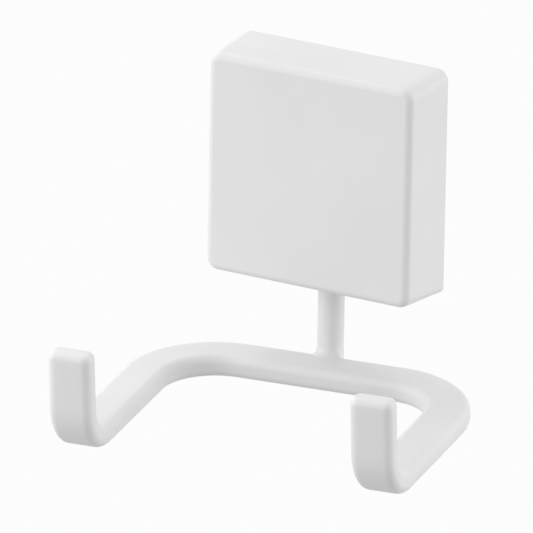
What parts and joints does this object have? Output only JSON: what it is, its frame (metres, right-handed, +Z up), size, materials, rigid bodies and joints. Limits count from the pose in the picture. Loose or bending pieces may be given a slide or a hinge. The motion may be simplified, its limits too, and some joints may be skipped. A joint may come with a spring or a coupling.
{
  "type": "adhesive wall hook",
  "caption": "Square wall block on an adhesive plate, with a flat U-shaped double hook that turns on a round stem below it; white plastic.",
  "frame": {"origin": "on the wall, at the middle of the cover's height and width, in the adhesive face of the pad", "axes": "+X to the right seen from the front, +Y into the wall, +Z up; the front faces -Y"},
  "size_m": [0.1014, 0.0921, 0.0914],
  "materials": {
    "white_plastic": "satin moulded white plastic",
    "inner_plastic": "matt moulded plastic, off-white",
    "foam_adhesive": "soft closed-cell foam with adhesive faces",
    "zinc_steel": "zinc-plated steel",
    "black_rubber": "matt black rubber",
    "washer_plastic": "natural low-friction plastic",
    "clip_steel": "spring steel"
  },
  "bodies": {
    "base": {"adhesive_pad": "foam_adhesive", "wall_plate": "inner_plastic"},
    "cover": {"front_cover": "white_plastic", "carrier": "inner_plastic", "carrier_screws": "zinc_steel"},
    "swivel_hook": {"hook": "white_plastic", "friction_ring": "black_rubber", "thrust_washer": "washer_plastic", "retaining_clip": "clip_steel"}
  },
  "joints": [
    {"name": "cover_lift", "type": "slide", "parent": "base", "child": "cover", "axis": [0, 0, 1], "range_m": [0, 0.0075]},
    {"name": "hook_swivel", "type": "hinge", "parent": "cover", "child": "swivel_hook", "pos_m": [0, -0.005, -0.022], "axis": [0, 0, 1], "range_deg": [-21.5, 5.7]}
  ]
}
